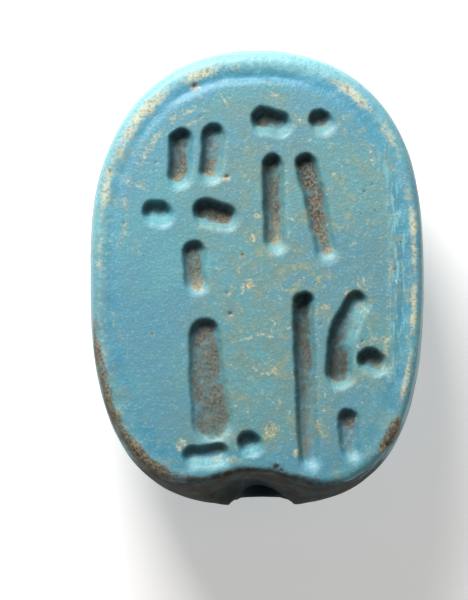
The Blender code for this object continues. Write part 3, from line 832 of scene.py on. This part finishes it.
# pale thin glaze, and painted highlight on the lamp side and on the strokes' lower walls
colour = coat(colour, GLAZE_THIN_AND_HIGHLIGHT, crumbs, 0.36, 0.62, least=0.57, most=0.79, only=amount["thin_glaze_and_highlight"])
colour = coat(colour, GLAZE_THIN_AND_HIGHLIGHT, grain, 0.54, 0.76, most=0.36)
colour = coat(colour, GLAZE_POOLED, grain, 0.50, 0.28, most=0.46)
print("nodes so far:", len(tree.nodes))

# %% [markdown]
# ## Flecks, streaks and wear
# Olive and cream crumbs show through the film, most over the middle and the right. Where the glaze has worn
# through, the body is straw to cream with brown specks. A worn place isn't a smooth patch: wear joins spots
# that were there before. So the amount lifts a pattern of spots over a threshold, and the patch grows out
# of them.

# %% Flecks and streaks in the glaze
freckles = coverage(drifts, 0.40, 0.62, only=amount["freckled"])
broken = coverage(crumbs, 0.42, 0.56, least=0.3, only=freckles)
colour = coat(colour, OLIVE, patches, 0.44, 0.62, most=0.7, only=broken)
colour = coat(colour, STRAW, crumbs, 0.58, 0.68, most=0.45, only=freckles)
sparse = coverage(specks, 0.66, 0.74, most=0.4)
dense = coverage(specks, 0.59, 0.69, most=0.42)
both = {0: dense, 1: amount["freckled"], 2: sparse}
speck_share = add("ShaderNodeMath", both, operation="MULTIPLY_ADD").outputs[0]
colour = add("ShaderNodeMix", {0: speck_share, 6: colour, 7: CREAM}, data_type="RGBA").outputs[2]
colour = coat(colour, GLAZE_THIN_AND_HIGHLIGHT, streaks, 0.48, 0.62, most=0.5, only=amount["streaked"])
print("nodes so far:", len(tree.nodes))

# %% Glaze worn through to the body
worn_spots = add("ShaderNodeMix", {0: 0.58, 2: patches, 3: crumbs}).outputs[0]
soil_grain = add("ShaderNodeMix", {0: 0.60, 2: crumbs, 3: grain}).outputs[0]


def worn_through(name, lift, spots_share, low, high, most):
    """How much has worn through: spots that this amount lifts over the threshold from low to high."""
    spots = add("ShaderNodeMath", {0: worn_spots, 1: spots_share}, operation="MULTIPLY").outputs[0]
    lifted = add("ShaderNodeMath", {0: amount[name], 1: lift, 2: spots}, operation="MULTIPLY_ADD").outputs[0]
    return coverage(lifted, low, high, most=most)


bare_share = worn_through("bare", 0.34, 0.62, 0.41, 0.64, 0.85)
bare_colour = coat(coat(STRAW, CREAM, crumbs, 0.48, 0.64, most=0.8), BROWN, grain, 0.43, 0.33, most=0.8)
edge_share = worn_through("brown_edge", 0.50, 0.50, 0.42, 0.72, 0.97)
edge_colour = coat(coat(EDGE_BROWN, EDGE_GREY, soil_grain, 0.44, 0.60), BROWN, grain, 0.46, 0.36, most=0.45)
crest_share = worn_through("rim_wear", 0.32, 0.64, 0.47, 0.68, 0.85)
rim_share = coverage(grain, 0.36, 0.58, least=0.6, only=crest_share)
rim_colour = coat(coat(CREAM, TAN, crumbs, 0.54, 0.64), BROWN, grain, 0.43, 0.33, most=0.6)
for shown, finish in ((bare_share, bare_colour), (edge_share, edge_colour), (rim_share, rim_colour)):
    colour = add("ShaderNodeMix", {0: shown, 6: colour, 7: finish}, data_type="RGBA").outputs[2]
print("nodes so far:", len(tree.nodes))

# %% [markdown]
# ## Soil
# Soil lies in the strokes: grey or rusty where it is thin and brown where it is thick, paler where it runs
# out, and patchy, so that glaze still shows through it. In the deepest places it is painted nearly black, as
# shade. The caked soil on the end is duller and darker, partly as painted shade. Painted shade on the steep
# walls and inside the hole comes last.

# %% Soil in the strokes
thin_spots = add("ShaderNodeMix", {0: 0.5, 2: patches, 3: crumbs}).outputs[0]


def caked(name, patchiness, evenness, low, high, most):
    """How much soil clings, with painted shade in it on the lower end: this amount, thicker where the spots
    are.
    """
    spots = {0: thin_spots, 1: patchiness, 2: evenness}
    spots = add("ShaderNodeMath", spots, operation="MULTIPLY_ADD").outputs[0]
    thickness = add("ShaderNodeMath", {0: amount[name], 1: spots}, operation="MULTIPLY").outputs[0]
    return coverage(thickness, low, high, most=most)


soil_share = caked("soil", 1.7, 0.02, 0.38, 0.84, 0.94)
cool_soil = coat(BROWN, GREY_SOIL, soil_grain, 0.20, 0.56)
warm_soil = coat(BROWN, RUST, soil_grain, 0.38, 0.60)
soil_colour = coat(cool_soil, warm_soil, patches, 0.30, 0.60, only=amount["warmth"])
soil_colour = coat(soil_colour, PALE_SOIL, patches, 0.30, 0.60, only=amount["pale_soil"])
soil_colour = coat(soil_colour, SANDY, grain, 0.53, 0.68, only=amount["speckled"])
soil_colour = coat(soil_colour, DARK_SOIL_AND_SHADE, grain, 0.48, 0.36, only=amount["speckled"])
# painted shade: the soil darkens to near black in the deepest places
deep_shade_mix = {0: amount["painted_deep_shade"], 6: soil_colour, 7: DARK_SOIL_AND_SHADE}
soil_colour = add("ShaderNodeMix", deep_shade_mix, data_type="RGBA").outputs[2]
print("nodes so far:", len(tree.nodes))

# %% Soil with painted shade on the end, pits, and painted shade on the walls and in the hole
pit_body = coat(TAN, CREAM, crumbs, 0.48, 0.70)
# caked soil with painted shade over the lower end
soil_and_shade_share = caked("soil_and_shade", 1.5, 0.15, 0.30, 0.85, 0.97)
soil_and_shade_colour = coat(CAKED_SOIL_AND_SHADE, BROWN, patches, 0.42, 0.62)
soil_and_shade_colour = coat(soil_and_shade_colour, PAINTED_SHADE_COLOUR, drifts, 0.50, 0.64, most=0.4)
soil_and_shade_colour = coat(soil_and_shade_colour, EDGE_BROWN, crumbs, 0.58, 0.70, most=0.5)
# painted shade, laid last over the steep walls of the strokes and the inside of the hole
painted_shade_share = coverage(thin_spots, 0.25, 0.60, least=0.6, most=0.95, only=amount["painted_shade"])
DIRT = (
    (soil_share, soil_colour), (amount["pit_pale"], pit_body), (amount["pit_dark"], DARK_SOIL_AND_SHADE),
    (soil_and_shade_share, soil_and_shade_colour), (painted_shade_share, PAINTED_SHADE_COLOUR),
)
for shown, finish in DIRT:
    colour = add("ShaderNodeMix", {0: shown, 6: colour, 7: finish}, data_type="RGBA").outputs[2]
print("nodes so far:", len(tree.nodes))

# %% [markdown]
# ## Gloss and grain
# The glaze is a kind of soda glass, so it isn't a metal and its IOR is about 1.5. New it would be
# mirror-smooth, and wear has made it satin. Whatever lies on it or shows through it is dull, and the walls
# have lost some of their sheen too. The finest grit is too small for the mesh, so a bump gives it.

# %% Shader and bump
SATIN, DULL = 0.44, 0.88
GLASS_SHEEN, DULL_SHEEN = 0.5, 0.12
GLASS_IOR = 1.5
GRIT_HEIGHT, GRIT_STRENGTH = 0.04 * MM, 0.6
dull = soil_share
for other in (rim_share, soil_and_shade_share, edge_share, bare_share):
    dull = add("ShaderNodeMath", {0: dull, 1: other}, operation="MAXIMUM").outputs[0]
gloss = add("ShaderNodeMapRange", {"Value": dull, "To Min": SATIN, "To Max": DULL}).outputs["Result"]
matt = add("ShaderNodeMath", {0: dull, 1: amount["dull_wall"]}, operation="MAXIMUM").outputs[0]
sheen = {"Value": matt, "To Min": GLASS_SHEEN, "To Max": DULL_SHEEN}
sheen = add("ShaderNodeMapRange", sheen).outputs["Result"]
speck_height = add("ShaderNodeMath", {0: specks, 1: 0.7}, operation="MULTIPLY").outputs[0]
grit_height = {0: grain, 1: 0.5, 2: speck_height}
grit_height = add("ShaderNodeMath", grit_height, operation="MULTIPLY_ADD").outputs[0]
bump = {"Height": grit_height, "Strength": GRIT_STRENGTH, "Distance": GRIT_HEIGHT}
bump = add("ShaderNodeBump", bump).outputs["Normal"]
surface = {"Base Color": colour, "Roughness": gloss, "Normal": bump}
surface.update({"IOR": GLASS_IOR, "Specular IOR Level": sheen})
shader = add("ShaderNodeBsdfPrincipled", surface)
add("ShaderNodeOutputMaterial", {"Surface": shader.outputs["BSDF"]})
pierced.materials.clear()
pierced.materials.append(glaze)
print("nodes in the glaze:", len(tree.nodes))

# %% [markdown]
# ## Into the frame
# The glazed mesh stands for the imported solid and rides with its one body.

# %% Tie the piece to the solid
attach(scaraboid, "root")
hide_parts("scaraboid")
print("scaraboid stands for", list(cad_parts))

# %% [markdown]
# ## The studio
# The picture is taken from nearly overhead, tipped a little towards the lower end, with a long lens so that
# the face isn't distorted. The key lamp stands above the top end, a little to the left: it lights the lower
# sides of the strokes and leaves their upper sides dark. A weak fill lamp softens those from the right. The
# bead lies on a sheet of opal acrylic, cast with a matt skin and with a little light under it, as small
# finds are photographed. To the eye that is a white without gloss, where the shadow stays pale while the
# carving keeps its dark sides.

# %% Floor
floor_bm = bmesh.new()
bmesh.ops.create_grid(floor_bm, x_segments=1, y_segments=1, size=1.0)
floor = finished(floor_bm, "floor")
opal = bpy.data.materials.new("opal_acrylic_sheet")
opal.use_nodes = True
OPAL = {
    "Base Color": linear("#E7E5E3"),
    "Roughness": 0.9,
    "Emission Color": linear("#F9F7F5"),
    "Emission Strength": 0.38,
}
for name, value in OPAL.items():
    opal.node_tree.nodes["Principled BSDF"].inputs[name].default_value = value
floor.data.materials.append(opal)
print("floor:", opal.name)

# %% Lamps and surround
def lamp(name, place_mm, size_mm, watts):
    """A square area lamp that looks at the bead."""
    light = bpy.data.lights.new(name, "AREA")
    light.size, light.energy = size_mm * MM, watts
    made = in_scene(name, light)
    made.location = [value * MM for value in place_mm]
    made.rotation_mode = "QUATERNION"
    made.rotation_quaternion = (-made.location).to_track_quat("-Z", "Y")


lamp("key_lamp", place_mm=(-20, 52, 54), size_mm=34, watts=0.092)
lamp("fill_lamp", place_mm=(60, -20, 95), size_mm=70, watts=0.014)
world = bpy.data.worlds.new("surround")
world.use_nodes = True
surround = world.node_tree.nodes["Background"]
surround.inputs["Color"].default_value = linear("#F4F7FA")
surround.inputs["Strength"].default_value = 0.14
bpy.context.scene.world = world
bpy.context.scene.view_settings.view_transform = "Standard"
print("lamps:", [light.name for light in bpy.data.lights])

# %% Camera at the photograph's angle
ELEVATION = math.radians(84)
LENS, SENSOR = 300.0, 36.0
PICTURE_HEIGHT, MM_PER_PIXEL = 600, 0.0329
AIM_RIGHT, AIM_UP = -0.757, -0.72
distance = PICTURE_HEIGHT * MM_PER_PIXEL * LENS / SENSOR
camera_data = bpy.data.cameras.new("camera")
camera_data.lens, camera_data.clip_start = LENS, 0.01
camera = in_scene("camera", camera_data)
back = np.array([0, -math.cos(ELEVATION), math.sin(ELEVATION)])
up = np.array([0, math.sin(ELEVATION), math.cos(ELEVATION)])
middle = np.array([0, 0, GIRTH_HEIGHT])
aim = middle + AIM_RIGHT * np.array([1, 0, 0]) + AIM_UP * up
camera.location = (aim + back * distance) * MM
camera.rotation_euler = (math.pi / 2 - ELEVATION, 0, 0)
bpy.context.scene.camera = camera
print("camera distance:", round(distance), "mm")

# %% Update the view layer
bpy.context.view_layer.update()
